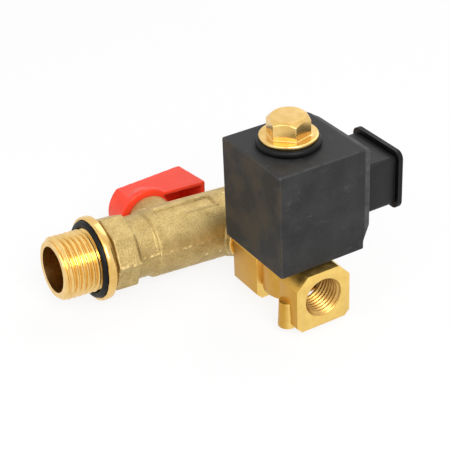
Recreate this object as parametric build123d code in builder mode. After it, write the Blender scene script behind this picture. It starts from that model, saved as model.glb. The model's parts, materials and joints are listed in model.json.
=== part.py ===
from build123d import *
from math import cos, radians, sin, sqrt, tan
import os

os.makedirs("parts", exist_ok=True)

# Automatic drain valve: a ball valve with a built-in strainer, joined by a nipple
# to a direct-acting solenoid valve.
# Origin: centre of the outlet port's mouth. -Y points out of the outlet, +Z along
# the coil axis, +X from the inlet thread towards the strainer plug. Millimetres.

# Fits
play = 0.02  # between pieces that are screwed or pressed together
running = 0.05  # radial gap of a piece that turns or slides in another
seat_gap = 0.3  # gap between curved faces that only lie beside each other

# Solenoid valve body
body_width = 19.6
body_top = 9.4  # above the port axis
body_base = 10.0  # below the port axis
top_bevel = 4.2
base_bevel = 1.8
front_block = 9.6
rear_block_start = 22.9
rear_block_end = 36.6
coil_axis = 17.9  # from the outlet mouth
core_boss_radius = 9.1
waist_width = 15.0
waist_base = 5.0  # underside of the waist, below the port axis
foot_radius = 3.1
foot_y = 6.5
foot_x = 9.1
foot_top = 1.0  # below the port axis
foot_hole_radius = 1.65
foot_hole_depth = 7.0
port_radius = 6.58
port_depth = 11.0
passage_radius = 2.0
chamber_radius = 7.0
chamber_floor = 3.0  # above the port axis
orifice_radius = 1.2
nozzle_radius = 2.6
nozzle_height = 1.4

# Armature tube, plunger and fixed core
tube_radius = 5.5
tube_wall = 0.5
tube_flange_radius = 8.2
tube_flange_top = 10.5
tube_thread_length = 5.4
tube_ring_section = 1.0
plunger_length = 24.0
plunger_seal_radius = 3.4
plunger_seal_thickness = 2.0
stroke = 1.8
core_rise = 0.35  # above the coil's top
stud_radius = 4.0
stud_length = 7.0
spring_wire = 0.5
spring_radius = 2.5
spring_turns = 6
spring_pocket = 7.0
shading_outer = 4.4
shading_inner = 3.5
shading_depth = 0.9

# Coil
coil_width = 30.4
coil_depth = 32.1
coil_bottom = 10.6
coil_height = 34.9
coil_offset = 1.25  # the moulding's middle lies this far from its bore
coil_edge = 0.5
platform_height = 2.2
platform_back_slope = 5.5
platform_base_start = 2.8
platform_base_slope = 5.5
platform_top_slope = 0.6
gasket_radius = 11.0

# Connector shroud
shroud_width = 21.4
shroud_height = 17.0
shroud_middle = 27.0
shroud_length = 13.9
shroud_wall = 1.5
shroud_corner = 1.6
rim_thickness = 1.9
rim_side = 1.2
rim_top = 1.65
blade_width = 6.3
blade_thickness = 0.8
blade_length = 10.5
blade_spacing = 12.4

# Cap nut and its seal
seal_radius = 10.1
seal_height = 2.55
cap_flange_radius = 9.1
cap_flange = 1.35
cap_hex = 12.0
cap_height = 6.1
cap_bore_depth = 8.2
cap_turn = 15.0

# Ball valve
barrel_axis = 55.9  # from the outlet mouth
barrel_tilt = 3.93
barrel_radius = 11.3
thread_radius = 10.4775
thread_chamfer = 0.9
inlet_end = -65.0
inlet_flange_front = -52.0
thread_relief = 1.6  # undercut between the thread and the flange
relief_radius = 9.6
inlet_flange_radius = 13.9
inlet_flange_thickness = 3.0
inlet_bore = 7.62
housing_bore = 7.3  # for the retainer, the ball and its seats
octagon_across = 23.2
octagon_start = -47.6
octagon_end = -39.6
octagon_turn = -6.0
neck_end = -32.2
collar_radius = 10.4
barrel_end = 15.0
chamber_start = -8.6
chamber_bore = 8.6
passage_bore = 4.8
o_ring_section = 2.3
o_ring_outer = 12.8
branch_radius = 8.0
branch_face = 14.0
branch_flare = 2.4
panel_length = 18.0
panel_width = 5.0
panel_depth = 0.6
panel_middle = -11.0
panel_lean = 15.0

# Ball, seats and stem
stem_x = -22.5
ball_radius = 7.2
ball_bore = 4.75
ball_slot_width = 3.2
ball_slot_depth = 2.0
seat_inner = 4.9
seat_thickness = 3.0
seat_reach = 7.3
retainer_length = 5.0
retainer_bore = 5.4
tower_radius = 8.2
tower_face = 15.0
stem_radius = 4.0
stem_collar_radius = 5.2
stem_collar = 1.6
stem_ring_section = 1.2
stem_ring_pitch = 2.4
stem_square = 5.6
stem_square_length = 5.2

# Lever handle
lever_front = 15.3
lever_length = 22.5  # from the stem to the tip
lever_half_height = 7.8
lever_tip_draft = 2.0
lever_back_hub = 24.9  # outer face over the hub's left edge
lever_back_tip = 30.3
hub_radius = 10.2
hub_collar = 1.8
hub_slope = 6.0
lever_wall = 1.3
lever_plate = 2.0
lever_edge = 0.8
hub_core_radius = 8.8
screw_head_radius = 3.6
screw_head = 2.2
screw_shank_radius = 2.0
screw_shank = 8.0

# Strainer and nipple
screen_radius = 7.4
screen_wall = 0.5
plug_hex = 19.0
plug_hex_height = 6.0
plug_flange_radius = 11.0
plug_flange = 1.6
plug_thread = 6.5
plug_ring_section = 1.2
nipple_bore = 4.0
nipple_grip = 8.8

# Derived places
coil_top = coil_bottom + coil_height
coil_centre = Plane((coil_offset, coil_axis, coil_bottom))
tube_axis = Plane((0, coil_axis, 0))
coil_side = coil_offset + coil_width / 2
platform_face = coil_side + platform_height
nozzle_top = chamber_floor + nozzle_height
plunger_base = nozzle_top + seat_gap
plunger_top = plunger_base + plunger_length
core_base = plunger_top + stroke + seat_gap / 2
core_top = coil_top + core_rise
core_length = core_top - core_base
ball_seat_end = stem_x + seat_reach
retainer_start = stem_x - seat_reach - retainer_length
collar_base = housing_bore + running
tilt = radians(barrel_tilt)
barrel = Plane(
    origin=(0, barrel_axis, 0),
    x_dir=(cos(tilt), 0, -sin(tilt)),
    z_dir=(sin(tilt), 0, cos(tilt)),
)


def up(height):
    # a level plane on the coil axis
    return tube_axis.offset(height)


def across(x):
    # a plane square to the barrel, x along it
    return Plane(origin=barrel.from_local_coords((x, 0, 0)), x_dir=barrel.y_dir, z_dir=barrel.x_dir)


def aside(x, y):
    # a plane facing -Y on the barrel's side, y from the barrel's axis, its own Y upwards
    return Plane(origin=barrel.from_local_coords((x, y, 0)), x_dir=barrel.x_dir, z_dir=-barrel.y_dir)


def stemwise():
    # the level plane through the stem, its own X along the stem
    return Plane(origin=barrel.from_local_coords((stem_x, 0, 0)), x_dir=barrel.y_dir, z_dir=barrel.z_dir)


def finish(piece, name):
    piece.part.label = name
    export_step(piece.part, f"parts/{name}.step")


def bar_block(start, length):
    # a block of the solenoid body's bar section, from a distance behind the outlet mouth
    half = body_width / 2
    with BuildPart() as block:
        with BuildSketch(Plane.XZ.offset(-start)):
            with BuildLine():
                Polyline(
                    (-half + base_bevel, -body_base),
                    (half - base_bevel, -body_base),
                    (half, -body_base + base_bevel),
                    (half, body_top - top_bevel),
                    (half - top_bevel, body_top),
                    (-half + top_bevel, body_top),
                    (-half, body_top - top_bevel),
                    (-half, -body_base + base_bevel),
                    close=True,
                )
            make_face()
        extrude(amount=-length)
    return block.part


def tube(outer, inner, length, plane):
    # a plain tube from a plane on
    with BuildPart() as ring:
        with BuildSketch(plane):
            Circle(outer)
            Circle(inner, mode=Mode.SUBTRACT)
        extrude(amount=length)
    return ring


def o_ring(ring_radius, section_radius, plane):
    # a round ring, its axis along the plane's normal
    with BuildPart() as ring:
        with BuildSketch(Plane(origin=plane.origin, x_dir=plane.x_dir, z_dir=plane.y_dir)):
            with Locations((ring_radius, 0)):
                Circle(section_radius)
        revolve(axis=Axis(plane.origin, plane.z_dir))
    return ring


# Solenoid valve body: two bar-section blocks, a round core boss and two mounting feet.
outlet_block = bar_block(0, front_block)
inlet_block = bar_block(rear_block_start, rear_block_end - rear_block_start)
with BuildPart() as solenoid_body:
    add(outlet_block)
    add(inlet_block)
    with BuildSketch(up(-waist_base)):
        Circle(core_boss_radius)
        Rectangle(waist_width, rear_block_start - front_block + 2 * foot_radius)
    extrude(amount=waist_base + body_top)
    with BuildSketch(Plane.XY.offset(-body_base)):
        with Locations((-foot_x, foot_y), (foot_x, foot_y)):
            Circle(foot_radius)
    extrude(amount=body_base - foot_top, taper=3)
    # outlet and inlet threads
    with BuildSketch(Plane.XZ):
        Circle(port_radius)
    extrude(amount=-port_depth, mode=Mode.SUBTRACT)
    with BuildSketch(Plane.XZ.offset(-rear_block_end)):
        Circle(port_radius + play)
    extrude(amount=nipple_grip, mode=Mode.SUBTRACT)
    # chamber under the armature tube, with the nozzle left standing
    with BuildSketch(up(body_top)):
        Circle(chamber_radius + play)
    extrude(amount=-(body_top - chamber_floor), mode=Mode.SUBTRACT)
    with BuildSketch(up(chamber_floor)):
        Circle(nozzle_radius)
    extrude(amount=nozzle_height, taper=12)
    with BuildSketch(up(0)):
        Circle(orifice_radius)
    extrude(amount=nozzle_top, mode=Mode.SUBTRACT)
    with BuildSketch(Plane.XZ.offset(-port_depth)):
        Circle(passage_radius)
    extrude(amount=-(coil_axis + orifice_radius - port_depth), mode=Mode.SUBTRACT)
    inlet_bottom = rear_block_end - nipple_grip
    riser_y = coil_axis + chamber_radius - passage_radius
    with BuildSketch(Plane.XZ.offset(-inlet_bottom)):
        Circle(passage_radius)
    extrude(amount=inlet_bottom - riser_y, mode=Mode.SUBTRACT)
    with BuildSketch(Plane((0, riser_y, 0))):
        Circle(passage_radius * 0.75)
    extrude(amount=chamber_floor, mode=Mode.SUBTRACT)
    # threaded holes in the feet
    with BuildSketch(Plane.XY.offset(-body_base)):
        with Locations((-foot_x, foot_y), (foot_x, foot_y)):
            Circle(foot_hole_radius)
    extrude(amount=foot_hole_depth, mode=Mode.SUBTRACT)
finish(solenoid_body, "solenoid_body")

# Armature tube: a threaded foot with a flange, and a thin tube up through the coil.
tube_bore = tube_radius - tube_wall
tube_foot = body_top - tube_thread_length
with BuildPart() as armature_tube:
    with BuildSketch(up(tube_foot)):
        Circle(chamber_radius)
    extrude(amount=tube_thread_length)
    with BuildSketch(up(body_top)):
        RegularPolygon(tube_flange_radius, 6, major_radius=True)
    extrude(amount=tube_flange_top - body_top)
    with BuildSketch(up(tube_flange_top)):
        Circle(tube_radius)
    extrude(amount=core_top - tube_flange_top)
    with BuildSketch(up(tube_foot)):
        Circle(tube_bore)
    extrude(amount=core_top - tube_foot, mode=Mode.SUBTRACT)
finish(armature_tube, "armature_tube")

# Round seal under the tube's threaded foot.
ring_middle = chamber_radius - tube_ring_section / 2 - seat_gap / 3
tube_o_ring = o_ring(ring_middle, tube_ring_section / 2, up(tube_foot - tube_ring_section / 2))
finish(tube_o_ring, "tube_o_ring")

# Plunger with its rubber disc, spring pocket and two flutes for the flow.
plunger_radius = tube_bore - running
with BuildPart() as plunger:
    with BuildSketch(up(plunger_base)):
        Circle(plunger_radius)
        with PolarLocations(plunger_radius, 2):
            Rectangle(1.2, 1.6, mode=Mode.SUBTRACT)
    extrude(amount=plunger_length)
    with BuildSketch(up(plunger_base)):
        Circle(plunger_seal_radius + play)
    extrude(amount=plunger_seal_thickness, mode=Mode.SUBTRACT)
    with BuildSketch(up(plunger_top)):
        Circle(spring_radius + spring_wire / 2 + seat_gap)
    extrude(amount=-spring_pocket, mode=Mode.SUBTRACT)
finish(plunger, "plunger")

with BuildPart() as plunger_seal:
    with BuildSketch(up(plunger_base)):
        Circle(plunger_seal_radius)
    extrude(amount=plunger_seal_thickness)
finish(plunger_seal, "plunger_seal")

# Return spring between the plunger's pocket and the fixed core.
spring_base = plunger_top - spring_pocket + spring_wire / 2
spring_height = core_base - spring_wire / 2 - spring_base
with BuildPart() as plunger_spring:
    with BuildLine(up(spring_base)):
        Helix(pitch=spring_height / spring_turns, height=spring_height, radius=spring_radius)
    with BuildSketch(Plane(origin=(spring_radius, coil_axis, spring_base), x_dir=(1, 0, 0), z_dir=(0, 1, 0))):
        Circle(spring_wire / 2)
    sweep(is_frenet=True)
finish(plunger_spring, "plunger_spring")

# Fixed core, closing the tube, with the stud for the cap nut.
core_radius = tube_bore - play
with BuildPart() as fixed_core:
    with BuildSketch(up(core_base)):
        Circle(core_radius)
    extrude(amount=core_length)
    with BuildSketch(up(core_top)):
        Circle(stud_radius)
    extrude(amount=stud_length)
    chamfer(fixed_core.faces().sort_by(Axis.Z)[-1].edges(), 0.5)
    with BuildSketch(up(core_base)):
        Circle(shading_outer + play)
        Circle(shading_inner - play, mode=Mode.SUBTRACT)
    extrude(amount=shading_depth + play, mode=Mode.SUBTRACT)
finish(fixed_core, "fixed_core")

shading_ring = tube(shading_outer, shading_inner, shading_depth, up(core_base))
finish(shading_ring, "shading_ring")

# Gasket between the body and the coil, round the tube's flange.
coil_gasket = tube(gasket_radius, tube_flange_radius + seat_gap, coil_bottom - body_top, up(body_top))
finish(coil_gasket, "coil_gasket")

# Moulded coil: a block with the connector's platform on its +X side.
half_width = coil_width / 2
half_depth = coil_depth / 2
with BuildPart() as coil:
    with BuildSketch(coil_centre):
        Rectangle(coil_width, coil_depth)
    extrude(amount=coil_height)
    with BuildSketch(coil_centre):
        with BuildLine():
            Polyline(
                (0, -half_depth),
                (half_width + platform_height, -half_depth),
                (half_width + platform_height, half_depth - platform_back_slope),
                (half_width, half_depth),
                (0, half_depth),
                close=True,
            )
        make_face()
    extrude(amount=coil_height)
    # slopes below and above the platform
    with BuildSketch(Plane.XZ.offset(-coil_axis - half_depth)):
        with BuildLine():
            Polyline(
                (coil_side, coil_bottom),
                (coil_side, coil_bottom + platform_base_start),
                (platform_face, coil_bottom + platform_base_start + platform_base_slope),
                (platform_face, coil_bottom),
                close=True,
            )
        make_face()
        with BuildLine():
            Polyline(
                (coil_side, coil_top),
                (platform_face, coil_top - platform_top_slope),
                (platform_face, coil_top),
                close=True,
            )
        make_face()
    extrude(amount=coil_depth, mode=Mode.SUBTRACT)
    fillet(coil.edges().filter_by(Axis.Z).group_by(Axis.X)[0], coil_edge)
    with BuildSketch(up(coil_bottom)):
        Circle(tube_radius + running)
    extrude(amount=coil_height, mode=Mode.SUBTRACT)
finish(coil, "coil")

# Connector shroud: a rectangular sleeve that stands out of the platform.
shroud_plane = Plane(origin=(platform_face, coil_axis, shroud_middle), x_dir=(0, 1, 0), z_dir=(1, 0, 0))
with BuildPart() as connector_shroud:
    with BuildSketch(shroud_plane):
        RectangleRounded(shroud_width, shroud_height, shroud_corner)
        RectangleRounded(
            shroud_width - 2 * shroud_wall,
            shroud_height - 2 * shroud_wall,
            shroud_corner - shroud_wall / 2,
            mode=Mode.SUBTRACT,
        )
    extrude(amount=shroud_length)
finish(connector_shroud, "connector_shroud")

# Rubber gasket round the shroud's mouth, where the plug connector is screwed on.
with BuildPart() as connector_gasket:
    with BuildSketch(shroud_plane.offset(shroud_length)):
        RectangleRounded(shroud_width + 2 * rim_side, shroud_height + 2 * rim_top, shroud_corner + rim_side)
        RectangleRounded(
            shroud_width - 2 * shroud_wall,
            shroud_height - 2 * shroud_wall,
            shroud_corner - shroud_wall / 2,
            mode=Mode.SUBTRACT,
        )
    extrude(amount=rim_thickness)
    fillet(connector_gasket.faces().sort_by(Axis.X)[-1].outer_wire().edges(), 0.5)
finish(connector_gasket, "connector_gasket")

# Flat contact blades: two for the supply and one for earth, standing on the platform.
with BuildPart() as contact_blades:
    with BuildSketch(shroud_plane):
        with Locations((-blade_spacing / 2, 0), (blade_spacing / 2, 0)):
            Rectangle(blade_thickness, blade_width)
    extrude(amount=blade_length)
    chamfer(contact_blades.faces().group_by(Axis.X)[-1].edges().filter_by(Axis.Z), blade_thickness / 4)
finish(contact_blades, "contact_blades")

earth_drop = shroud_height / 2 - shroud_wall - 2.0
with BuildPart() as earth_blade:
    with BuildSketch(shroud_plane):
        with Locations((0, -earth_drop)):
            Rectangle(blade_width, blade_thickness)
    extrude(amount=blade_length)
    chamfer(earth_blade.faces().sort_by(Axis.X)[-1].edges().filter_by(Axis.Y), blade_thickness / 4)
finish(earth_blade, "earth_blade")

# Seal ring under the cap nut.
seal_bore = tube_radius + seat_gap
with BuildPart() as cap_seal:
    with BuildSketch(up(coil_top)):
        Circle(seal_radius)
        Circle(seal_bore, mode=Mode.SUBTRACT)
    extrude(amount=seal_height)
    fillet(cap_seal.edges().filter_by(GeomType.CIRCLE).sort_by(SortBy.RADIUS)[-2:], seal_height * 0.45)
finish(cap_seal, "cap_seal")

# Cap nut: a closed hexagon on a round flange.
cap_base = coil_top + seal_height
cap_top = cap_base + cap_flange + cap_height
with BuildPart() as cap_nut:
    with BuildSketch(up(cap_base + cap_flange)):
        RegularPolygon(cap_hex / 2, 6, major_radius=False, rotation=cap_turn)
    extrude(amount=cap_height)
    # the hexagon's corners are turned down to a cone
    corner = cap_hex / sqrt(3)
    with BuildSketch(Plane(origin=tube_axis.origin, x_dir=(1, 0, 0), z_dir=(0, -1, 0))):
        with BuildLine():
            Polyline(
                (0, cap_base),
                (corner, cap_base),
                (corner, cap_top - (corner - cap_hex * 0.465) * tan(radians(40))),
                (cap_hex * 0.465, cap_top),
                (0, cap_top),
                close=True,
            )
        make_face()
    revolve(axis=Axis(tube_axis.origin, (0, 0, 1)), mode=Mode.INTERSECT)
    with BuildSketch(up(cap_base)):
        Circle(cap_flange_radius)
    extrude(amount=cap_flange)
    fillet(cap_nut.edges().filter_by(GeomType.CIRCLE).sort_by(SortBy.RADIUS)[-2:], cap_flange * 0.3)
    with BuildSketch(up(cap_base)):
        Circle(stud_radius + play)
    extrude(amount=cap_bore_depth - seal_height, mode=Mode.SUBTRACT)
finish(cap_nut, "cap_nut")

# Forged ball valve body: threaded inlet, flange, octagon, neck and strainer barrel,
# with the stem's tower towards +Y and the outlet branch towards -Y.
with BuildPart() as valve_body:
    with BuildSketch(across(inlet_end)):
        Circle(thread_radius)
    extrude(amount=inlet_flange_front - thread_relief - inlet_end)
    chamfer(valve_body.edges().sort_by(Axis.X)[0], thread_chamfer)
    with BuildSketch(across(inlet_flange_front - thread_relief)):
        Circle(relief_radius)
    extrude(amount=thread_relief)
    with BuildSketch(across(inlet_flange_front)):
        Circle(inlet_flange_radius)
    extrude(amount=inlet_flange_thickness)
    flange_rims = valve_body.edges().filter_by(GeomType.CIRCLE).sort_by(SortBy.RADIUS)[-2:]
    chamfer(flange_rims, 0.4)
    with BuildSketch(across(inlet_flange_front + inlet_flange_thickness)):
        Circle(collar_radius)
    extrude(amount=neck_end - inlet_flange_front - inlet_flange_thickness)
    with BuildSketch(across(octagon_start)):
        RegularPolygon(octagon_across / 2, 8, major_radius=False, rotation=octagon_turn)
    extrude(amount=octagon_end - octagon_start)
    with BuildSketch(across(neck_end)):
        Circle(barrel_radius)
    extrude(amount=barrel_end - neck_end)
    chamfer(valve_body.edges().sort_by(Axis.X)[-1], 0.8)
    # stem tower and outlet branch
    with BuildSketch(aside(stem_x, 0)):
        Circle(tower_radius)
    extrude(amount=-tower_face)
    with BuildSketch(aside(0, 0)):
        Circle(branch_radius)
    extrude(amount=branch_face)
    with BuildSketch(aside(0, -branch_face + branch_flare)):
        Circle(branch_radius)
    extrude(amount=-branch_face / 2, taper=-25)
    # inlet bore, ball housing, passage and strainer chamber
    with BuildSketch(across(inlet_end)):
        Circle(inlet_bore)
    extrude(amount=retainer_start - inlet_end, mode=Mode.SUBTRACT)
    with BuildSketch(across(retainer_start)):
        Circle(housing_bore)
    extrude(amount=ball_seat_end - retainer_start, mode=Mode.SUBTRACT)
    with BuildSketch(across(ball_seat_end)):
        Circle(passage_bore)
    extrude(amount=chamber_start - ball_seat_end, mode=Mode.SUBTRACT)
    with BuildSketch(across(chamber_start)):
        Circle(chamber_bore)
    extrude(amount=barrel_end - chamber_start, mode=Mode.SUBTRACT)
    # stem bore with its inner counterbore, and the branch thread
    with BuildSketch(aside(stem_x, 0)):
        Circle(stem_radius + running)
    extrude(amount=-tower_face, mode=Mode.SUBTRACT)
    with BuildSketch(aside(stem_x, 0)):
        Circle(stem_collar_radius + running)
    extrude(amount=-(collar_base + stem_collar), mode=Mode.SUBTRACT)
    with BuildSketch(aside(0, -branch_face)):
        Circle(port_radius + play)
    extrude(amount=-(branch_face - chamber_bore / 2), mode=Mode.SUBTRACT)
    # groove for the inlet's ring
    groove_radius = o_ring_outer - o_ring_section / 2
    groove_plane = across(inlet_flange_front)
    with BuildSketch(Plane(origin=groove_plane.origin, x_dir=groove_plane.x_dir, z_dir=groove_plane.y_dir)):
        with Locations((groove_radius, 0)):
            Circle(o_ring_section / 2 + play)
    revolve(axis=Axis(groove_plane.origin, groove_plane.z_dir), mode=Mode.SUBTRACT)
    # recessed panel along the barrel's top, left bare
    lean = radians(panel_lean)
    panel_plane = Plane(
        origin=barrel.from_local_coords((panel_middle, 0, 0)),
        x_dir=barrel.x_dir,
        z_dir=barrel.z_dir * cos(lean) + barrel.y_dir * sin(lean),
    )
    panel_floor = barrel_radius - panel_depth - panel_width**2 / 8 / barrel_radius
    with BuildSketch(panel_plane.offset(panel_floor)):
        RectangleRounded(panel_length, panel_width, 0.8)
    extrude(amount=barrel_radius / 2, mode=Mode.SUBTRACT)
finish(valve_body, "valve_body")

inlet_o_ring = o_ring(groove_radius, o_ring_section / 2, across(inlet_flange_front))
finish(inlet_o_ring, "inlet_o_ring")

# Ball with its through bore and the slot for the stem's tongue.
ball_plane = across(stem_x)
with BuildPart() as ball:
    with BuildSketch(Plane(origin=ball_plane.origin, x_dir=ball_plane.x_dir, z_dir=ball_plane.y_dir)):
        with BuildLine():
            CenterArc((0, 0), ball_radius, -90, 180)
            Line((0, -ball_radius), (0, ball_radius))
        make_face()
    revolve(axis=Axis(ball_plane.origin, ball_plane.z_dir))
    with BuildSketch(across(stem_x - ball_radius)):
        Circle(ball_bore)
    extrude(amount=2 * ball_radius, mode=Mode.SUBTRACT)
    with BuildSketch(aside(stem_x, ball_radius)):
        Rectangle(2 * ball_radius, ball_slot_width)
    extrude(amount=ball_slot_depth, mode=Mode.SUBTRACT)
finish(ball, "ball")


def ball_seat(side):
    # a seat ring whose inner face follows the ball
    start = seat_reach - seat_thickness
    plane = Plane(origin=ball_plane.origin, x_dir=ball_plane.z_dir * side, z_dir=ball_plane.y_dir)
    with BuildPart() as ring:
        with BuildSketch(plane):
            with Locations(((seat_reach + start) / 2, (housing_bore - play + seat_inner) / 2)):
                Rectangle(seat_thickness, housing_bore - play - seat_inner)
            Circle(ball_radius + running, mode=Mode.SUBTRACT)
        revolve(axis=Axis(ball_plane.origin, ball_plane.z_dir))
    return ring


inlet_seat = ball_seat(-1)
finish(inlet_seat, "inlet_ball_seat")
outlet_seat = ball_seat(1)
finish(outlet_seat, "outlet_ball_seat")

# Screwed ring that holds the seats against the ball.
with BuildPart() as seat_retainer:
    with BuildSketch(across(retainer_start)):
        Circle(housing_bore - play)
        RegularPolygon(retainer_bore, 6, major_radius=False, mode=Mode.SUBTRACT)
    extrude(amount=retainer_length)
finish(seat_retainer, "seat_retainer")

# Stem: tongue, collar, ringed shank and square, turned about the tower's axis.
tongue_base = ball_radius - ball_slot_depth + running
square_base = tower_face + seat_gap
square_end = square_base + stem_square_length
ring_places = [tower_face - stem_ring_pitch * (n + 0.7) for n in range(2)]
with BuildPart() as stem:
    with BuildSketch(aside(stem_x, collar_base)):
        Circle(stem_collar_radius)
    extrude(amount=-(stem_collar - running))
    with BuildSketch(aside(stem_x, collar_base)):
        Circle(stem_radius)
    extrude(amount=-(square_base - collar_base))
    with BuildSketch(aside(stem_x, square_base)):
        Rectangle(stem_square, stem_square)
        Circle(stem_radius, mode=Mode.INTERSECT)
    extrude(amount=-stem_square_length)
    with BuildSketch(aside(stem_x, tongue_base)):
        Rectangle(2 * stem_radius, ball_slot_width - 2 * play)
        Circle(stem_radius, mode=Mode.INTERSECT)
    extrude(amount=-(collar_base - tongue_base))
    groove_depth = stem_ring_section + play
    for place in ring_places:
        with BuildSketch(aside(stem_x, place - groove_depth / 2)):
            Circle(stem_radius + running)
            Circle(stem_radius - stem_ring_section - play, mode=Mode.SUBTRACT)
        extrude(amount=-groove_depth, mode=Mode.SUBTRACT)
    with BuildSketch(aside(stem_x, square_end)):
        Circle(screw_shank_radius + play)
    extrude(amount=screw_shank, mode=Mode.SUBTRACT)
finish(stem, "stem")

ring_axis = Axis(aside(stem_x, 0).origin, barrel.y_dir)
with BuildPart() as stem_o_rings:
    with BuildSketch(stemwise()):
        for place in ring_places:
            with Locations((place, -(stem_radius - stem_ring_section / 2))):
                Circle(stem_ring_section / 2)
    revolve(axis=ring_axis)
finish(stem_o_rings, "stem_o_rings")

# Lever handle: a hub over the stem and a hollow arm, open towards the valve body.
lever_slope = (lever_back_tip - lever_back_hub) / (lever_length + hub_radius)
lever_deep = lever_back_tip + 1.0
hub_sketch = aside(stem_x, lever_front)
lever_level = Plane(origin=stemwise().origin, x_dir=barrel.x_dir, z_dir=barrel.z_dir)


def lever_back(x):
    # depth of the lever's outer face, x from the stem
    return lever_back_hub + (x + hub_radius) * lever_slope


# hollow of the arm, outside the hub's core, with walls and floor that follow the outside
pocket_height = 2 * (lever_half_height - lever_wall)
pocket_end = lever_length - lever_wall
pocket_draft = lever_tip_draft / (lever_back_tip - lever_front)
floor_start = lever_back(0) - lever_plate
floor_end = lever_back(pocket_end) - lever_plate
with BuildPart() as pocket:
    with BuildSketch(lever_level.offset(-pocket_height / 2)):
        with BuildLine():
            Polyline(
                (0, lever_front),
                (pocket_end, lever_front),
                (pocket_end - pocket_draft * (floor_end - lever_front), floor_end),
                (0, floor_start),
                close=True,
            )
        make_face()
    extrude(amount=pocket_height)
    with BuildSketch(hub_sketch):
        Circle(hub_core_radius)
    extrude(amount=-lever_deep, mode=Mode.SUBTRACT)
lever_pocket = pocket.part

with BuildPart() as handle:
    # profile of the arm and hub from above: front edge, sloping tip and slanting outer face
    with BuildSketch(lever_level.offset(-lever_half_height)):
        with BuildLine():
            Polyline(
                (-hub_radius, lever_front),
                (lever_length, lever_front),
                (lever_length - lever_tip_draft, lever_back(lever_length)),
                (-hub_radius, lever_back(-hub_radius)),
                close=True,
            )
        make_face()
    extrude(amount=2 * lever_half_height)
    # the hub end is rounded about the stem
    with BuildSketch(hub_sketch):
        Circle(hub_radius)
        with Locations((lever_length, 0)):
            Rectangle(2 * lever_length, 4 * hub_radius)
    extrude(amount=-2 * lever_deep, mode=Mode.INTERSECT)
    fillet(handle.edges().filter_by(GeomType.LINE).group_by(Axis.Y)[-1], lever_edge)
    # full collar beside the tower, sloping back to the flats
    with BuildSketch(stemwise()):
        with BuildLine():
            Polyline(
                (lever_front, 0),
                (lever_front, hub_radius - 0.4),
                (lever_front + 0.4, hub_radius),
                (lever_front + hub_collar, hub_radius),
                (lever_front + hub_collar + hub_slope, lever_half_height - 0.3),
                (lever_front + hub_collar + hub_slope, 0),
                close=True,
            )
        make_face()
    revolve(axis=Axis(hub_sketch.origin, barrel.y_dir))
    add(lever_pocket, mode=Mode.SUBTRACT)
    # square socket and the screw's hole
    with BuildSketch(hub_sketch):
        Rectangle(stem_square + 2 * play, stem_square + 2 * play)
        Circle(stem_radius + play, mode=Mode.INTERSECT)
    extrude(amount=-stem_square_length - play, mode=Mode.SUBTRACT)
    with BuildSketch(hub_sketch):
        Circle(screw_shank_radius + play)
    extrude(amount=-lever_deep, mode=Mode.SUBTRACT)
    head_seat = square_end + play + 1.6
    with BuildSketch(aside(stem_x, head_seat)):
        Circle(screw_head_radius + seat_gap)
    extrude(amount=-lever_deep, mode=Mode.SUBTRACT)
finish(handle, "handle")

# Cross-recessed screw that holds the handle on the stem.
with BuildPart() as handle_screw:
    with BuildSketch(aside(stem_x, head_seat)):
        Circle(screw_head_radius)
    extrude(amount=-screw_head)
    fillet(handle_screw.faces().sort_by(Axis.Y)[-1].edges(), screw_head * 0.45)
    with BuildSketch(aside(stem_x, head_seat)):
        Circle(screw_shank_radius)
    extrude(amount=head_seat - square_end + screw_shank - 0.5)
    with BuildSketch(aside(stem_x, head_seat + screw_head)):
        Rectangle(screw_head_radius, 0.7)
        Rectangle(0.7, screw_head_radius)
    extrude(amount=screw_head / 2, mode=Mode.SUBTRACT)
finish(handle_screw, "handle_screw")

# Strainer screen, held between the chamber's shoulder and the plug.
plug_inner = barrel_end - plug_thread
screen_length = plug_inner - chamber_start
strainer_screen = tube(screen_radius, screen_radius - screen_wall, screen_length, across(chamber_start))
finish(strainer_screen, "strainer_screen")

# Strainer plug with its flange and hexagon.
plug_face = barrel_end + plug_ring_section
with BuildPart() as strainer_plug:
    with BuildSketch(across(plug_inner)):
        Circle(chamber_bore - play)
    extrude(amount=plug_face - plug_inner)
    with BuildSketch(across(plug_face)):
        Circle(plug_flange_radius)
    extrude(amount=plug_flange)
    fillet(strainer_plug.edges().filter_by(GeomType.CIRCLE).sort_by(SortBy.RADIUS)[-2:], 0.4)
    with BuildSketch(across(plug_face + plug_flange)):
        RegularPolygon(plug_hex / 2, 6, major_radius=False)
    extrude(amount=plug_hex_height)
    with BuildSketch(across(plug_inner)):
        Circle(screen_radius - 2 * screen_wall)
    extrude(amount=plug_thread, mode=Mode.SUBTRACT)
finish(strainer_plug, "strainer_plug")

# Flat ring between the plug's flange and the barrel's end.
plug_gasket = tube(plug_flange_radius - 0.4, chamber_bore + play, plug_ring_section, across(barrel_end))
finish(plug_gasket, "plug_gasket")

# Nipple that joins the ball valve to the solenoid valve.
nipple_end = barrel_axis - chamber_bore - 0.6
with BuildPart() as joining_nipple:
    with BuildSketch(Plane.XZ.offset(-inlet_bottom)):
        Circle(port_radius)
        Circle(nipple_bore, mode=Mode.SUBTRACT)
    extrude(amount=-(nipple_end - inlet_bottom))
finish(joining_nipple, "joining_nipple")
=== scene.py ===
import json
import math

import bpy
from mathutils import Matrix, Vector


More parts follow.
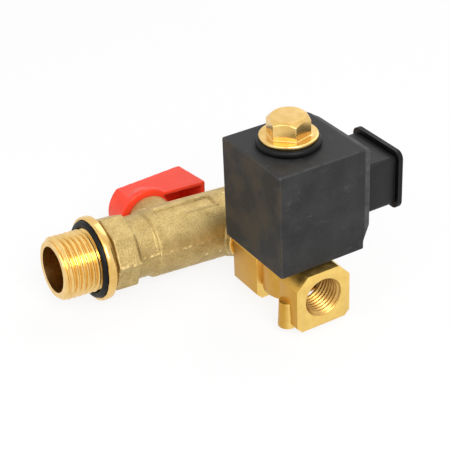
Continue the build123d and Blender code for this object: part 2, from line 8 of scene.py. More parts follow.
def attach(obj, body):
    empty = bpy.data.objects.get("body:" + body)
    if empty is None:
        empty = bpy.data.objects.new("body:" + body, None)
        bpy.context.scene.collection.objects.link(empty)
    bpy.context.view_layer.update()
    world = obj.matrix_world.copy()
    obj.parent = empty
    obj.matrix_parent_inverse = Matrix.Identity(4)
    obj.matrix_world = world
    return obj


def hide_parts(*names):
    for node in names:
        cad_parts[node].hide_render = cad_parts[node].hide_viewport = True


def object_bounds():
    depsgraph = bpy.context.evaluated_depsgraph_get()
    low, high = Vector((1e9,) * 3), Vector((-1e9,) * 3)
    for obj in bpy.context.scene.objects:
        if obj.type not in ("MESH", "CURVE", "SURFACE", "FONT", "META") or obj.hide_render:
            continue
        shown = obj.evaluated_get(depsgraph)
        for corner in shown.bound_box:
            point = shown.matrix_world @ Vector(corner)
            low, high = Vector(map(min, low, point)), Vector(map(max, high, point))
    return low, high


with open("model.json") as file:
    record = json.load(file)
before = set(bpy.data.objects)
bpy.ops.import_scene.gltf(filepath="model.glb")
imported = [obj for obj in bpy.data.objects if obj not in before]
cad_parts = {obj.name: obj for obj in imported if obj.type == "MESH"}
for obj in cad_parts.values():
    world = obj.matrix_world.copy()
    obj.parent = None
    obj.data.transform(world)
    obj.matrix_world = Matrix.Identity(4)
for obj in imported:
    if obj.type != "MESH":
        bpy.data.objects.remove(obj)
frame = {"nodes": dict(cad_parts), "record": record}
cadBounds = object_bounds()
record = frame["record"]
mm = 0.001

# the barrel's own frame: X along it towards the plug, Y towards the stem, Z up
inletMount = next(mount for mount in record["mounts"] if mount["name"] == "inlet_thread")
barrelX = -Vector(inletMount["axis"]).normalized()
barrelY = Vector((0, 1, 0))
barrelZ = barrelX.cross(barrelY)
inletPoint = Vector(inletMount["pos_m"])
barrelFrame = Matrix((barrelX, barrelY, barrelZ)).transposed().to_4x4()
barrelFrame.translation = inletPoint - barrelX * (inletPoint.x / barrelX.x)
toBarrel = barrelFrame.inverted()


# helpers for selecting and modelling

meshCare = {  # millimetres and degrees
    "mergeDistance": 0.002, "cutTolerance": 0.001, "flatAngle": 1.0,
}


def pickOnly(piece):
    bpy.ops.object.select_all(action="DESELECT")
    piece.select_set(True)
    bpy.context.view_layer.objects.active = piece


def editAll(piece):
    pickOnly(piece)
    bpy.ops.object.mode_set(mode="EDIT")
    bpy.ops.mesh.select_all(action="SELECT")


def addPiece(name, mesh):
    piece = bpy.data.objects.new(name, mesh)
    bpy.context.scene.collection.objects.link(piece)
    return piece


def mergePoints(piece, distance):
    editAll(piece)
    bpy.ops.mesh.remove_doubles(threshold=distance * mm)
    bpy.ops.object.mode_set(mode="OBJECT")


def copyOfNode(node, name):
    # a free copy of a CAD node, its loose triangles merged
    piece = addPiece(name, frame["nodes"][node].data.copy())
    piece.data.name = name
    piece.data.materials.clear()
    mergePoints(piece, meshCare["mergeDistance"])
    return piece


def applyModifier(piece, kind, **values):
    pickOnly(piece)
    modifier = piece.modifiers.new(kind.lower(), kind)
    for key, value in values.items():
        setattr(modifier, key, value)
    bpy.ops.object.modifier_apply(modifier=modifier.name)


def dissolveFlats(piece):
    editAll(piece)
    bpy.ops.mesh.dissolve_limited(angle_limit=math.radians(meshCare["flatAngle"]))
    bpy.ops.object.mode_set(mode="OBJECT")


def cutAcross(piece, point, normal):
    # keeps what lies on the normal's side and closes the cut
    editAll(piece)
    bpy.ops.mesh.bisect(
        plane_co=point, plane_no=normal, use_fill=True, clear_inner=True,
        threshold=meshCare["cutTolerance"] * mm,
    )
    bpy.ops.object.mode_set(mode="OBJECT")


def facesOut(piece):
    editAll(piece)
    bpy.ops.mesh.normals_make_consistent(inside=False)
    bpy.ops.object.mode_set(mode="OBJECT")


def smoothShade(piece, degrees):
    pickOnly(piece)
    bpy.ops.object.shade_smooth_by_angle(angle=math.radians(degrees))


def paint(piece, *materials):
    piece.data.materials.clear()
    for material in materials:
        piece.data.materials.append(material)


def settle(piece, body, slot, *nodes):
    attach(piece, body)
    if nodes:
        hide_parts(*nodes)
    print(piece.name + ":", len(piece.data.polygons), "faces")


# helpers for materials; an owner is a material or the world

def startMaterial(name, **values):
    material = bpy.data.materials.new(name)
    material.use_nodes = True
    shader = material.node_tree.nodes["Principled BSDF"]
    for key, value in values.items():
        shader.inputs[key].default_value = value
    return material, shader


def addNode(owner, kind, **values):
    node = owner.node_tree.nodes.new(kind)
    for key, value in values.items():
        setattr(node, key, value)
    return node


def join(owner, output, target):
    owner.node_tree.links.new(output, target)


def noiseOf(material, grain, detail, roughness=0.55, stretch=(1, 1, 1), turn=(0, 0, 0)):
    # grain is the pattern's size in millimetres
    place = addNode(material, "ShaderNodeTexCoord")
    mapping = addNode(material, "ShaderNodeMapping")
    mapping.inputs["Scale"].default_value = stretch
    mapping.inputs["Rotation"].default_value = turn
    noise = addNode(material, "ShaderNodeTexNoise")
    noise.inputs["Scale"].default_value = 1 / (grain * mm)
    noise.inputs["Detail"].default_value = detail
    noise.inputs["Roughness"].default_value = roughness
    join(material, place.outputs["Object"], mapping.inputs["Vector"])
    join(material, mapping.outputs["Vector"], noise.inputs["Vector"])
    return noise.outputs["Fac"]


def cornersOf(material):
    # above a half on edges, below it in hollows
    return addNode(material, "ShaderNodeNewGeometry").outputs["Pointiness"]


def rampOf(material, value, *stops):
    # stops are (place, grey level or colour)
    ramp = addNode(material, "ShaderNodeValToRGB")
    for element, (place, level) in zip(ramp.color_ramp.elements, stops):
        element.position = place
        colour = level if isinstance(level, tuple) else (level, level, level)
        element.color = (*colour, 1)
    join(material, value, ramp.inputs["Fac"])
    return ramp.outputs["Color"]


def mixOf(material, factor, first, second, blend="MIX"):
    mix = addNode(material, "ShaderNodeMix", data_type="RGBA", blend_type=blend)
    for value, socket in zip((factor, first, second), (mix.inputs[key] for key in ("Factor", "A", "B"))):
        if isinstance(value, bpy.types.NodeSocket):
            join(material, value, socket)
        elif isinstance(value, tuple):
            socket.default_value = (*value, 1)
        else:
            socket.default_value = value
    return mix.outputs["Result"]


def riseOf(material, coordinate, low, high):
    # 0 where the coordinate's X is at its low value, 1 where it is at its high one
    place = addNode(material, "ShaderNodeTexCoord")
    apart = addNode(material, "ShaderNodeSeparateXYZ")
    rise = addNode(material, "ShaderNodeMapRange")
    rise.inputs["From Min"].default_value = low
    rise.inputs["From Max"].default_value = high
    join(material, place.outputs[coordinate], apart.inputs["Vector"])
    join(material, apart.outputs["X"], rise.inputs["Value"])
    return rise.outputs["Result"]


def bumpOf(material, shader, height, strength, depth):
    # depth in millimetres; a second bump is laid over the first
    bump = addNode(material, "ShaderNodeBump")
    bump.inputs["Strength"].default_value = strength
    bump.inputs["Distance"].default_value = depth * mm
    join(material, height, bump.inputs["Height"])
    if shader.inputs["Normal"].links:
        join(material, shader.inputs["Normal"].links[0].from_socket, bump.inputs["Normal"])
    join(material, bump.outputs["Normal"], shader.inputs["Normal"])


def colourBy(material, shader, pattern, settings):
    join(material, rampOf(material, pattern, *settings["colours"]), shader.inputs["Base Color"])


def roughenBy(material, shader, pattern, settings):
    join(material, rampOf(material, pattern, *settings["roughness"]), shader.inputs["Roughness"])


# materials, each with its settings; sizes and depths in millimetres, and stops as (place, level or colour)

forgedSettings = {
    "colours": ((0.3, (0.48, 0.350, 0.140)), (0.7, (0.63, 0.475, 0.21))), "cloudSize": 5.0,
    "gritSize": 0.42, "gritRelief": (0.75, 0.16), "swellSize": 1.26, "swellRelief": (0.35, 0.12),
    "pits": ((0.34, (0.50, 0.45, 0.34)), (0.54, (1.0, 1.0, 1.0))), "pitShare": 0.6,
    # painted shade: concave places, read from pointiness, are darkened towards a deep brown
    "hollowShade": ((0.42, 0.75), (0.49, 0.0)), "hollowShadeColour": (0.25, 0.16, 0.05),
    # painted highlight: convex edges, read from pointiness, are lightened towards pale brass
    "edges": ((0.532, 0.0), (0.58, 0.8)), "edgeHighlightAndWearColour": (0.86, 0.70, 0.38),
    "roughness": ((0.3, 0.62), (0.7, 0.42)),
}


def makeForgedBrass(settings):
    material, shader = startMaterial("forgedBrass", Metallic=1.0)
    cloud = noiseOf(material, settings["cloudSize"], detail=2)
    grit = noiseOf(material, settings["gritSize"], detail=4, roughness=0.65)
    swell = noiseOf(material, settings["swellSize"], detail=2)
    corners = cornersOf(material)
    colour = rampOf(material, cloud, *settings["colours"])
    pits = rampOf(material, grit, *settings["pits"])
    pitted = mixOf(material, settings["pitShare"], colour, pits, "MULTIPLY")
    # painted shade in the hollows, from pointiness
    hollowShade = rampOf(material, corners, *settings["hollowShade"])
    # painted highlight on the edges, from pointiness
    edges = rampOf(material, corners, *settings["edges"])
    shaded = mixOf(material, hollowShade, pitted, settings["hollowShadeColour"])
    bright = mixOf(material, edges, shaded, settings["edgeHighlightAndWearColour"])
    join(material, bright, shader.inputs["Base Color"])
    roughenBy(material, shader, grit, settings)
    bumpOf(material, shader, swell, *settings["swellRelief"])
    bumpOf(material, shader, grit, *settings["gritRelief"])
    return material


barSettings = {
    "colours": ((0.28, (0.86, 0.56, 0.145)), (0.72, (0.97, 0.69, 0.215))), "cloudSize": 3.0,
    # painted shade: faces that look towards -X are darkened
    "leftShadeColour": (0.66, 0.53, 0.31), "leftShadeSpan": (-0.35, -0.85),  # by how far a face looks along X
    "drawMarks": ((0.30, (0.93, 0.92, 0.89)), (0.60, (1.0, 1.0, 1.0))), "drawShare": 0.8,
    "lineSize": 0.5, "stretch": (4, 0.25, 4), "roughness": ((0.3, 0.30), (0.7, 0.44)), "relief": (0.3, 0.03),
}


def makeBarBrass(settings):
    material, shader = startMaterial("barBrass", Metallic=1.0)
    cloud = noiseOf(material, settings["cloudSize"], detail=3)
    lines = noiseOf(material, settings["lineSize"], detail=3, roughness=0.6, stretch=settings["stretch"])
    # painted shade on the faces that look towards -X
    facingLeft = riseOf(material, "Normal", *settings["leftShadeSpan"])
    colour = rampOf(material, cloud, *settings["colours"])
    leftShaded = mixOf(material, facingLeft, colour, settings["leftShadeColour"], "MULTIPLY")
    drawn = rampOf(material, lines, *settings["drawMarks"])
    marked = mixOf(material, settings["drawShare"], leftShaded, drawn, "MULTIPLY")
    join(material, marked, shader.inputs["Base Color"])
    roughenBy(material, shader, cloud, settings)
    bumpOf(material, shader, lines, *settings["relief"])
    return material


turnedSettings = {
    "colours": ((0.3, (0.78, 0.49, 0.145)), (0.7, (0.90, 0.62, 0.24))), "cloudSize": 4.0,
    "lineSize": 0.3, "stretch": (6, 1, 6), "roughness": ((0.3, 0.14), (0.7, 0.30)), "relief": (0.25, 0.02),
}
# a darker, rougher copy of the turned brass: painted shade for the thread inside the outlet's hole
shadedPortSettings = dict(
    turnedSettings, roughness=((0.3, 0.30), (0.7, 0.44)),
    colours=((0.3, (0.50, 0.28, 0.07)), (0.7, (0.66, 0.41, 0.13))),
)
chromeSettings = {
    "colours": ((0.3, (0.72, 0.72, 0.73)), (0.7, (0.80, 0.80, 0.81))), "cloudSize": 4.0,
    "lineSize": 0.25, "stretch": (1, 1, 1), "roughness": ((0.3, 0.05), (0.7, 0.12)), "relief": (0.2, 0.015),
}
steelSettings = {
    "colours": ((0.3, (0.50, 0.50, 0.51)), (0.7, (0.62, 0.62, 0.63))), "cloudSize": 3.0,
    "lineSize": 0.25, "stretch": (1, 1, 5), "roughness": ((0.3, 0.22), (0.7, 0.36)), "relief": (0.2, 0.015),
}
copperSettings = {
    "colours": ((0.3, (0.66, 0.33, 0.20)), (0.7, (0.80, 0.44, 0.30))), "cloudSize": 2.0,
    "lineSize": 0.25, "stretch": (1, 1, 1), "roughness": ((0.3, 0.2), (0.7, 0.35)), "relief": (0.2, 0.015),
}
tinSettings = {
    "colours": ((0.3, (0.55, 0.55, 0.55)), (0.7, (0.68, 0.68, 0.67))), "cloudSize": 2.0,
    "lineSize": 0.25, "stretch": (1, 6, 6), "roughness": ((0.3, 0.25), (0.7, 0.40)), "relief": (0.2, 0.015),
}


def makeMetal(name, settings):
    material, shader = startMaterial(name, Metallic=1.0)
    cloud = noiseOf(material, settings["cloudSize"], detail=2)
    lines = noiseOf(material, settings["lineSize"], detail=2, roughness=0.5, stretch=settings["stretch"])
    colourBy(material, shader, cloud, settings)
    roughenBy(material, shader, lines, settings)
    bumpOf(material, shader, lines, *settings["relief"])
    return material


coilSettings = {
    "colours": ((0.34, (0.012, 0.012, 0.012)), (0.66, (0.027, 0.027, 0.027))), "cloudSize": 9.0,
    "dust": ((0.58, 0.0), (0.80, 0.55)), "dustSize": 4.0, "dustColour": (0.075, 0.074, 0.070),
    "scuffs": ((0.68, 0.0), (0.78, 0.6)), "scuffColour": (0.14, 0.14, 0.14),
    "scratchSize": 9.0, "scratchStretch": (1, 7, 7), "scratchTurn": (0.4, 0.9, 0.5),
    "edges": ((0.515, 0.0), (0.56, 0.8)), "edgeBreaks": ((0.40, 0.15), (0.60, 1.0)),
    "edgeHighlightAndWearColour": (0.085, 0.085, 0.083),
    "stain": ((0.42, 0.0), (0.62, 0.8)), "stainSpan": (-13.0, -13.8), "stainColour": (0.050, 0.036, 0.020),
    "rub": ((0.35, 0.2), (0.65, 0.9)), "rubSpan": (16.4, 17.0), "rubColour": (0.075, 0.075, 0.074),
    "specular": 0.3, "roughness": ((0.3, 0.55), (0.7, 0.72)),
    "grainSize": 0.5, "grainRelief": (0.3, 0.05), "cloudRelief": (0.3, 0.3),
}


def makeCoilPlastic(settings):
    material, shader = startMaterial("coilPlastic")
    shader.inputs["Specular IOR Level"].default_value = settings["specular"]
    cloud = noiseOf(material, settings["cloudSize"], detail=4, roughness=0.6)
    dust = noiseOf(material, settings["dustSize"], detail=6, roughness=0.75)
    scratch = noiseOf(
        material, settings["scratchSize"], detail=3, roughness=0.7,
        stretch=settings["scratchStretch"], turn=settings["scratchTurn"],
    )
    grain = noiseOf(material, settings["grainSize"], detail=3)
    colour = rampOf(material, cloud, *settings["colours"])
    dusty = mixOf(material, rampOf(material, dust, *settings["dust"]), colour, settings["dustColour"])
    scuffed = mixOf(material, rampOf(material, scratch, *settings["scuffs"]), dusty, settings["scuffColour"])
    # on the coil the edges are only worn paler, broken up by the dust pattern
    edges = rampOf(material, cornersOf(material), *settings["edges"])
    worn = mixOf(material, 1.0, edges, rampOf(material, dust, *settings["edgeBreaks"]), "MULTIPLY")
    edged = mixOf(material, worn, scuffed, settings["edgeHighlightAndWearColour"])
    # a brownish stain on the -X side, and the connector's platform rubbed paler
    stainPlace = riseOf(material, "Object", *(level * mm for level in settings["stainSpan"]))
    stain = mixOf(material, 1.0, stainPlace, rampOf(material, cloud, *settings["stain"]), "MULTIPLY")
    stained = mixOf(material, stain, edged, settings["stainColour"])
    rubPlace = riseOf(material, "Object", *(level * mm for level in settings["rubSpan"]))
    rub = mixOf(material, 1.0, rubPlace, rampOf(material, dust, *settings["rub"]), "MULTIPLY")
    rubbed = mixOf(material, rub, stained, settings["rubColour"])
    join(material, rubbed, shader.inputs["Base Color"])
    roughenBy(material, shader, cloud, settings)
    bumpOf(material, shader, grain, *settings["grainRelief"])
    bumpOf(material, shader, cloud, *settings["cloudRelief"])
    return material


shroudSettings = {
    "colours": ((0.3, (0.005, 0.005, 0.005)), (0.7, (0.009, 0.009, 0.009))), "cloudSize": 7.0,
    "specular": 0.3, "roughness": ((0.3, 0.42), (0.7, 0.55)), "grainSize": 0.4, "relief": (0.25, 0.03),
}


def makeShroudPlastic(settings):
    material, shader = startMaterial("shroudPlastic")
    shader.inputs["Specular IOR Level"].default_value = settings["specular"]
    grain = noiseOf(material, settings["grainSize"], detail=2)
    colourBy(material, shader, noiseOf(material, settings["cloudSize"], detail=3), settings)
    roughenBy(material, shader, grain, settings)
    bumpOf(material, shader, grain, *settings["relief"])
    return material


rubberSettings = {
    "colours": ((0.3, (0.002, 0.002, 0.002)), (0.7, (0.005, 0.005, 0.005))), "cloudSize": 3.0,
    "specular": 0.2, "roughness": ((0.3, 0.38), (0.7, 0.52)), "grainSize": 0.3, "relief": (0.2, 0.02),
}


def makeRubber(settings):
    material, shader = startMaterial("blackRubber")
    shader.inputs["Specular IOR Level"].default_value = settings["specular"]
    cloud = noiseOf(material, settings["cloudSize"], detail=3)
    colourBy(material, shader, cloud, settings)
    roughenBy(material, shader, cloud, settings)
    bumpOf(material, shader, noiseOf(material, settings["grainSize"], detail=2), *settings["relief"])
    return material


redSettings = {
    "colours": ((0.3, (0.90, 0.046, 0.016)), (0.7, (0.97, 0.066, 0.026))), "cloudSize": 6.0,
    "glowShare": 0.05, "glowReach": (1.2 * mm, 0.3 * mm, 0.2 * mm),
    "specular": 0.4, "roughness": ((0.3, 0.34), (0.7, 0.46)), "grainSize": 0.6, "relief": (0.2, 0.04),
}


def makeRedPlastic(settings):
    material, shader = startMaterial("redPlastic")
    shader.inputs["Subsurface Weight"].default_value = settings["glowShare"]
    shader.inputs["Subsurface Radius"].default_value = settings["glowReach"]
    shader.inputs["Specular IOR Level"].default_value = settings["specular"]
    grain = noiseOf(material, settings["grainSize"], detail=2)
    colourBy(material, shader, noiseOf(material, settings["cloudSize"], detail=2), settings)
    roughenBy(material, shader, grain, settings)
    bumpOf(material, shader, grain, *settings["relief"])
    return material


seatSettings = {
    "colours": ((0.3, (0.78, 0.78, 0.75)), (0.7, (0.88, 0.88, 0.86))), "cloudSize": 3.0,
    "roughness": ((0.3, 0.35), (0.7, 0.5)),
}


def makeSeatPlastic(settings):
    material, shader = startMaterial("seatPlastic")
    cloud = noiseOf(material, settings["cloudSize"], detail=2)
    colourBy(material, shader, cloud, settings)
    roughenBy(material, shader, cloud, settings)
    return material


slotMaterials = {
    "forged_brass": makeForgedBrass(forgedSettings),
    "machined_brass": makeMetal("turnedBrass", turnedSettings),
    "solenoid_brass": makeBarBrass(barSettings),
    "coil_plastic": makeCoilPlastic(coilSettings),
    "shroud_plastic": makeShroudPlastic(shroudSettings),
    "black_rubber": makeRubber(rubberSettings),
    "red_plastic": makeRedPlastic(redSettings),
    "chrome_plate": makeMetal("chromePlate", chromeSettings),
    "stainless": makeMetal("stainless", steelSettings),
    "seat_plastic": makeSeatPlastic(seatSettings),
    "copper": makeMetal("copper", copperSettings),
    "tinned_steel": makeMetal("tinnedSteel", tinSettings),
}
# painted shade: the outlet's thread is given darker brass where it sits inside its hole
shadedPortBrass = makeMetal("shadedPortBrass", shadedPortSettings)  # the outlet's thread, dulled inside its hole
print("materials made:", len(slotMaterials) + 1)

for subpart in record["subparts"]:
    paint(frame["nodes"][subpart["node"]], slotMaterials[subpart["material_slot"]])
print("CAD nodes painted:", len(record["subparts"]))


# threads: a rod with a rounded helical ridge, made by the Screw modifier

ridgeForm = {
    "places": (0.0, 0.07, 0.13, 0.40, 0.45, 0.50, 0.55, 0.60, 0.87, 0.93, 1.0),  # along one pitch
    "levels": (0.0, 0.0, 0.08, 0.92, 0.99, 1.0, 0.99, 0.92, 0.08, 0.0, 0.0),  # from root to crest
    "steps": 96, "spareTurns": 4, "mergeDistance": 0.004, "shading": 40,
}


def threadedRod(name, root, crest, pitch, length):
    # lies along +X from 0 to its length, closed at both ends; sizes in millimetres
    points = [
        (place * pitch * mm, 0, (root + level * (crest - root)) * mm)
        for place, level in zip(ridgeForm["places"], ridgeForm["levels"])
    ]
    mesh = bpy.data.meshes.new(name)
    mesh.from_pydata(points, [(n, n + 1) for n in range(len(points) - 1)], [])
    rod = addPiece(name, mesh)
    applyModifier(
        rod, "SCREW", axis="X", angle=2 * math.pi, screw_offset=pitch * mm, use_merge_vertices=False,
        iterations=int(length / pitch) + ridgeForm["spareTurns"],
        steps=ridgeForm["steps"], render_steps=ridgeForm["steps"],
    )
    mergePoints(rod, ridgeForm["mergeDistance"])
    rod.data.transform(Matrix.Translation((-1.5 * pitch * mm, 0, 0)))  # past the ridge's open start
    cutAcross(rod, (0, 0, 0), (1, 0, 0))
    cutAcross(rod, (length * mm, 0, 0), (-1, 0, 0))
    facesOut(rod)
    return rod


def roundBar(name, radius, start, end):
    # a cylinder along X, in millimetres
    bpy.ops.object.select_all(action="DESELECT")
    bpy.ops.mesh.primitive_cylinder_add(
        vertices=ridgeForm["steps"], radius=radius * mm, depth=(end - start) * mm,
        location=((start + end) / 2 * mm, 0, 0), rotation=(0, math.pi / 2, 0),
    )
    bar = bpy.context.object
    bar.name = name
    bpy.ops.object.transform_apply(location=True, rotation=True, scale=True)
    return bar


def takeAway(piece, tool):
    applyModifier(piece, "BOOLEAN", operation="DIFFERENCE", object=tool, solver="EXACT")
    bpy.data.objects.remove(tool)


def turnCone(piece, mouthRadius, radius, length, inside):
    # turns the ridge down to a cone at X = 0, or opens it to one when it is inside a hole
    for vertex in piece.data.vertices:
        reach = math.hypot(vertex.co.y, vertex.co.z)
        rise = min(vertex.co.x / (length * mm), 1)
        limit = (mouthRadius + (radius - mouthRadius) * rise) * mm
        if reach < limit if inside else reach > limit:
            vertex.co.y *= limit / reach
            vertex.co.z *= limit / reach


# inlet thread, G1/2
inletForm = {
    "start": -65.0, "end": -52.05, "bore": 7.62, "crest": 10.46, "root": 9.32, "pitch": 1.814,
    "mouthRadius": 9.35, "mouthLength": 1.15, "overrun": 1.0,
}
inletLength = inletForm["end"] - inletForm["start"]
inletThread = threadedRod(
    "inletThread", inletForm["root"], inletForm["crest"], inletForm["pitch"], inletLength,
)
turnCone(inletThread, inletForm["mouthRadius"], inletForm["crest"], inletForm["mouthLength"], inside=False)
overrun = inletForm["overrun"]
takeAway(inletThread, roundBar("inletBore", inletForm["bore"], -overrun, inletLength + overrun))
inletThread.data.transform(barrelFrame @ Matrix.Translation((inletForm["start"] * mm, 0, 0)))
paint(inletThread, slotMaterials["machined_brass"])
smoothShade(inletThread, ridgeForm["shading"])
settle(inletThread, "base", "machined_brass")

# outlet thread, G1/4, a sleeve with the ridge inside
outletForm = {
    "outer": 6.575, "minor": 5.72, "major": 6.56, "pitch": 1.337, "length": 10.6,
    "mouthRadius": 6.54, "mouthLength": 0.9, "mouthGap": 0.05, "overrun": 1.0,
}
outletTap = threadedRod(
    "outletTap", outletForm["minor"], outletForm["major"], outletForm["pitch"],
    outletForm["length"] + 2 * outletForm["overrun"],
)
outletTap.data.transform(Matrix.Translation((-outletForm["overrun"] * mm, 0, 0)))
outletThread = roundBar("outletThread", outletForm["outer"], 0, outletForm["length"])
takeAway(outletThread, outletTap)
turnCone(outletThread, outletForm["mouthRadius"], outletForm["minor"], outletForm["mouthLength"], inside=True)
intoBody = Matrix.Translation((0, outletForm["mouthGap"] * mm, 0)) @ Matrix.Rotation(math.pi / 2, 4, "Z")
outletThread.data.transform(intoBody)
paint(outletThread, shadedPortBrass)
smoothShade(outletThread, ridgeForm["shading"])
settle(outletThread, "base", "machined_brass")


# forged valve body: rounded as a forging, machined at its ends; places along and off the barrel's axis

bodyForm = {
    "cut": -52.05, "voxel": 0.38, "softening": 4, "shading": 60,
    "skin": 10.0, "boreRadius": 9.0,  # the outside lies beyond the first, the bores inside the second
    "barrelRadius": 11.3, "barrelSpan": (-29.8, 13.8), "roundedWithin": 0.12, "leftBeyond": 0.24,
    "inletMachined": -48.85, "endMachined": 14.6, "faceMachined": 13.75, "towerMachined": 14.75,
}
recessForm = {  # the CAD body's shallow recess, which is filled; its lean and reach in degrees
    "span": (-20.6, -1.4), "lean": 15.0, "reach": 17.0,
    "moreSpan": 0.8, "moreReach": 3.0, "beside": (22, 34),
}
panelForm = {  # the bare panel, sunk and with a raised rim
    "span": (-29.0, -7.6), "half": 2.5, "lean": -8.0, "near": 50.0,
    "depth": 0.75, "wall": 0.3, "rimPlace": 0.5, "rimHeight": 0.22, "rimWidth": 0.4,
}
flashForm = {  # the thin wavy line where the forging dies met, low on the front
    "span": (-47.0, 14.0), "level": 1.2, "height": 0.34, "width": 0.32,
    "waves": ((0.22, 1.1, 0), (0.14, 2.7, 1)),  # height, rate and start of each
}


def onBarrel(point):
    # the place in the barrel's frame, the reach from its axis and the lean from its top towards the stem
    place = toBarrel @ point / mm
    return place, math.hypot(place.y, place.z), math.degrees(math.atan2(place.y, place.z))


def pushOut(vertex, place, lift):
    outwards = barrelFrame.to_3x3() @ Vector((0, place.y, place.z)).normalized()
    vertex.co += outwards * lift * mm


def inRecess(place, lean, moreSpan=0.0, moreReach=0.0):
    start, end = recessForm["span"]
    along = start - moreSpan < place.x < end + moreSpan
    return along and abs(lean - recessForm["lean"]) < recessForm["reach"] + moreReach


def besideRecess(place, lean):
    start, end = recessForm["span"]
    low, high = recessForm["beside"]
    return start < place.x < end and low < abs(lean - recessForm["lean"]) < high


def roundLift(place, reach, lean, radius):
    # makes the plain barrel exactly round, also where the recess was; fillets are left as they are
    start, end = bodyForm["barrelSpan"]
    if not start < place.x < end:
        return 0
    drift = reach - radius
    if inRecess(place, lean, recessForm["moreSpan"], recessForm["moreReach"]):
        return -drift
    fade = bodyForm["leftBeyond"] - bodyForm["roundedWithin"]
    return -drift * min(max((bodyForm["leftBeyond"] - abs(drift)) / fade, 0), 1)


def panelLift(place, lean):
    if abs(lean) > panelForm["near"]:
        return 0
    start, end = panelForm["span"]
    across = math.radians(lean - panelForm["lean"]) * bodyForm["barrelRadius"]
    inside = min(place.x - start, end - place.x, panelForm["half"] - abs(across))
    rim = math.exp(-((inside + panelForm["rimPlace"]) / panelForm["rimWidth"]) ** 2)
    return panelForm["rimHeight"] * rim - panelForm["depth"] * min(max(inside / panelForm["wall"], 0), 1)


def flashLift(place):
    start, end = flashForm["span"]
    if place.y > 0 or not start < place.x < end:
        return 0
    wave = sum(height * math.sin(place.x * rate + turn) for height, rate, turn in flashForm["waves"])
    away = (place.z - flashForm["level"] - wave) / flashForm["width"]
    return flashForm["height"] * math.exp(-away * away)


def isMachined(place, reach):
    ends = place.x < bodyForm["inletMachined"] or place.x > bodyForm["endMachined"]
    faces = place.y < -bodyForm["faceMachined"] or place.y > bodyForm["towerMachined"]
    return ends or faces or reach < bodyForm["boreRadius"]


forgedBody = copyOfNode("valve_body", "forgedBody")
for vertex in forgedBody.data.vertices:
    place, reach, lean = onBarrel(vertex.co)
    if bodyForm["skin"] < reach < bodyForm["barrelRadius"] and inRecess(place, lean):
        pushOut(vertex, place, bodyForm["barrelRadius"] - reach)
cutAcross(forgedBody, barrelFrame @ Vector((bodyForm["cut"] * mm, 0, 0)), barrelX)
facesOut(forgedBody)
applyModifier(forgedBody, "REMESH", mode="VOXEL", voxel_size=bodyForm["voxel"] * mm)
applyModifier(forgedBody, "SMOOTH", factor=0.5, iterations=bodyForm["softening"])

outside = [(vertex, *onBarrel(vertex.co)) for vertex in forgedBody.data.vertices]
outside = [entry for entry in outside if entry[2] > bodyForm["skin"]]
plainReaches = sorted(reach for vertex, place, reach, lean in outside if besideRecess(place, lean))
plainRadius = plainReaches[len(plainReaches) // 2]
print("plain barrel radius:", round(plainRadius, 3))
for vertex, place, reach, lean in outside:
    lift = roundLift(place, reach, lean, plainRadius) + panelLift(place, lean) + flashLift(place)
    pushOut(vertex, place, lift)
paint(forgedBody, slotMaterials["forged_brass"], slotMaterials["machined_brass"])
for face in forgedBody.data.polygons:
    place, reach, lean = onBarrel(face.center)
    face.material_index = 1 if isMachined(place, reach) else 0
smoothShade(forgedBody, bodyForm["shading"])
settle(forgedBody, "base", "forged_brass", "valve_body")


# moulded and machined pieces with rounded edges

def roundedPiece(node, name, body, slot, form):
    # a machined or thin-walled piece, its sharp edges bevelled
    piece = copyOfNode(node, name)
    dissolveFlats(piece)
    paint(piece, slotMaterials[slot])
    applyModifier(
        piece, "BEVEL", width=form["edge"] * mm, segments=2, limit_method="ANGLE",
        angle_limit=math.radians(form["sharpAngle"]), harden_normals=False, use_clamp_overlap=True,
    )
    smoothShade(piece, form["shading"])
    settle(piece, body, slot, node)


def softenedPiece(node, name, body, slot, form):
    # a moulding or forging with all its edges rounded off
    piece = copyOfNode(node, name)
    applyModifier(piece, "REMESH", mode="VOXEL", voxel_size=form["voxel"] * mm)
    applyModifier(piece, "SMOOTH", factor=0.5, iterations=form["softening"])
    paint(piece, slotMaterials[slot])
    smoothShade(piece, form["shading"])
    settle(piece, body, slot, node)
    return piece


coilForm = {"voxel": 0.34, "softening": 5, "shading": 60}
softenedPiece("coil", "coilBlock", "base", "coil_plastic", coilForm)

leverForm = {"voxel": 0.26, "softening": 9, "shading": 60}
softenedPiece("handle", "leverHandle", "lever", "red_plastic", leverForm)

nutForm = {
    "voxel": 0.15, "softening": 5, "shading": 60,
    "crownFlat": 0.76, "crownSlope": 1.15, "crownSkirt": 3.0,  # the cone that turns the corners off
}
capNut = softenedPiece("cap_nut", "capNut", "base", "machined_brass", nutForm)
nutPoints = [vertex.co for vertex in capNut.data.vertices]
nutTop = max(point.z for point in nutPoints)
nutLow = Vector((min(point.x for point in nutPoints), min(point.y for point in nutPoints)))
nutHigh = Vector((max(point.x for point in nutPoints), max(point.y for point in nutPoints)))
nutMiddle = (nutLow + nutHigh) / 2
nutRadius = max(
    (point.to_2d() - nutMiddle).length
    for point in nutPoints if nutTop - point.z < nutForm["crownSkirt"] * mm
)
for point in nutPoints:
    sideways = point.to_2d() - nutMiddle
    limit = nutForm["crownFlat"] * nutRadius + nutForm["crownSlope"] * (nutTop - point.z)
    if sideways.length > limit:
        point.xy = nutMiddle + sideways * limit / sideways.length

shroudForm = {"edge": 0.35, "sharpAngle": 30, "shading": 40}
roundedPiece("connector_shroud", "shroudSleeve", "base", "shroud_plastic", shroudForm)

barForm = {"edge": 0.22, "sharpAngle": 30, "shading": 40}
roundedPiece("solenoid_body", "barBody", "base", "solenoid_brass", barForm)


# floor, background, lights and camera

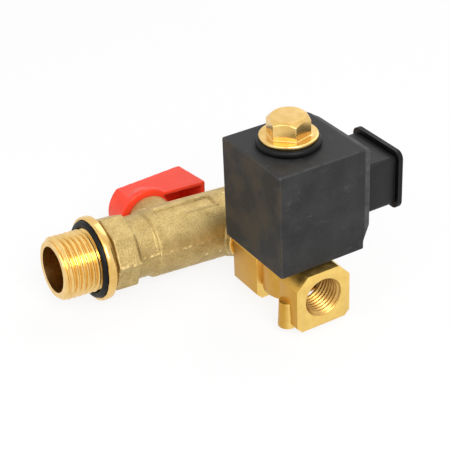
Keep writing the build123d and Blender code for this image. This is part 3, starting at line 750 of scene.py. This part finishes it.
studio = {
    "floorSize": 4.0, "floorColour": (0.92, 0.92, 0.92, 1), "floorRoughness": 0.9, "shadowShare": 0.15,
    "worldStrength": 0.50, "white": (1, 1, 1, 1),
}
lamps = {
    "key": {"place": (-0.10, -0.60, 0.55), "size": 0.40, "watts": 4.6},
    "fill": {"place": (-0.55, -0.15, 0.40), "size": 0.5, "watts": 1.2},
    "back": {"place": (0.48, 0.32, 0.635), "size": 0.5, "watts": 1.4},
}
view = {
    "azimuth": -30.14, "elevation": 31.51, "roll": -2.694, "lens": 109.04, "sensor": 36,
    "distance": 429.1, "target": (-14.752, 32.798, 14.858), "nearest": 10,
}


def seenDirectly(owner):
    # 1 for what the camera sees straight, mirrored or through glass, 0 for what only lights the object
    rays = addNode(owner, "ShaderNodeLightPath").outputs
    seen = rays["Is Camera Ray"]
    for kind in ("Is Glossy Ray", "Is Transmission Ray"):
        either = addNode(owner, "ShaderNodeMath", operation="MAXIMUM")
        join(owner, seen, either.inputs[0])
        join(owner, rays[kind], either.inputs[1])
        seen = either.outputs[0]
    return seen


bpy.ops.object.select_all(action="DESELECT")
bpy.ops.mesh.primitive_plane_add(size=studio["floorSize"], location=(0, 0, cadBounds[0].z))
floor = bpy.context.object
floor.name = "floor"
floorWhite, floorShader = startMaterial("floorWhite", Roughness=studio["floorRoughness"])
floorShader.inputs["Base Color"].default_value = studio["floorColour"]
glow = addNode(floorWhite, "ShaderNodeEmission")
glow.inputs["Color"].default_value = studio["white"]
glowShare = addNode(floorWhite, "ShaderNodeMath", operation="MULTIPLY")
glowShare.inputs[1].default_value = 1 - studio["shadowShare"]
floorBlend = addNode(floorWhite, "ShaderNodeMixShader")
join(floorWhite, seenDirectly(floorWhite), glowShare.inputs[0])
join(floorWhite, glowShare.outputs[0], floorBlend.inputs[0])
join(floorWhite, floorShader.outputs[0], floorBlend.inputs[1])
join(floorWhite, glow.outputs[0], floorBlend.inputs[2])
join(floorWhite, floorBlend.outputs[0], floorWhite.node_tree.nodes["Material Output"].inputs["Surface"])
paint(floor, floorWhite)

world = bpy.data.worlds.new("softWhite")
world.use_nodes = True
bpy.context.scene.world = world
background = world.node_tree.nodes["Background"]
background.inputs["Color"].default_value = studio["white"]
strength = addNode(world, "ShaderNodeMapRange")
strength.inputs["To Min"].default_value = studio["worldStrength"]
strength.inputs["To Max"].default_value = 1.0
join(world, seenDirectly(world), strength.inputs["Value"])
join(world, strength.outputs["Result"], background.inputs["Strength"])

middle = (cadBounds[0] + cadBounds[1]) / 2
for name, lamp in lamps.items():
    light = bpy.data.lights.new(name + "Light", "AREA")
    light.size = lamp["size"]
    light.energy = lamp["watts"]
    lightObject = addPiece(name + "Light", light)
    lightObject.location = lamp["place"]
    lightObject.rotation_euler = (middle - lightObject.location).to_track_quat("-Z", "Y").to_euler()

azimuth, elevation, roll = (math.radians(view[key]) for key in ("azimuth", "elevation", "roll"))
back = Vector((
    math.sin(azimuth) * math.cos(elevation),
    -math.cos(azimuth) * math.cos(elevation),
    math.sin(elevation),
))
right = Vector((math.cos(azimuth), math.sin(azimuth), 0))
above = back.cross(right)
rolledRight = right * math.cos(roll) + above * math.sin(roll)
rolledAbove = above * math.cos(roll) - right * math.sin(roll)
camera = bpy.data.cameras.new("camera")
camera.lens = view["lens"]
camera.sensor_width = view["sensor"]
camera.clip_start = view["nearest"] * mm
cameraObject = addPiece("camera", camera)
cameraObject.matrix_world = Matrix((rolledRight, rolledAbove, back)).transposed().to_4x4()
cameraObject.matrix_world.translation = (Vector(view["target"]) + back * view["distance"]) * mm
bpy.context.scene.camera = cameraObject
bpy.context.scene.view_settings.view_transform = "Standard"
print("studio ready")
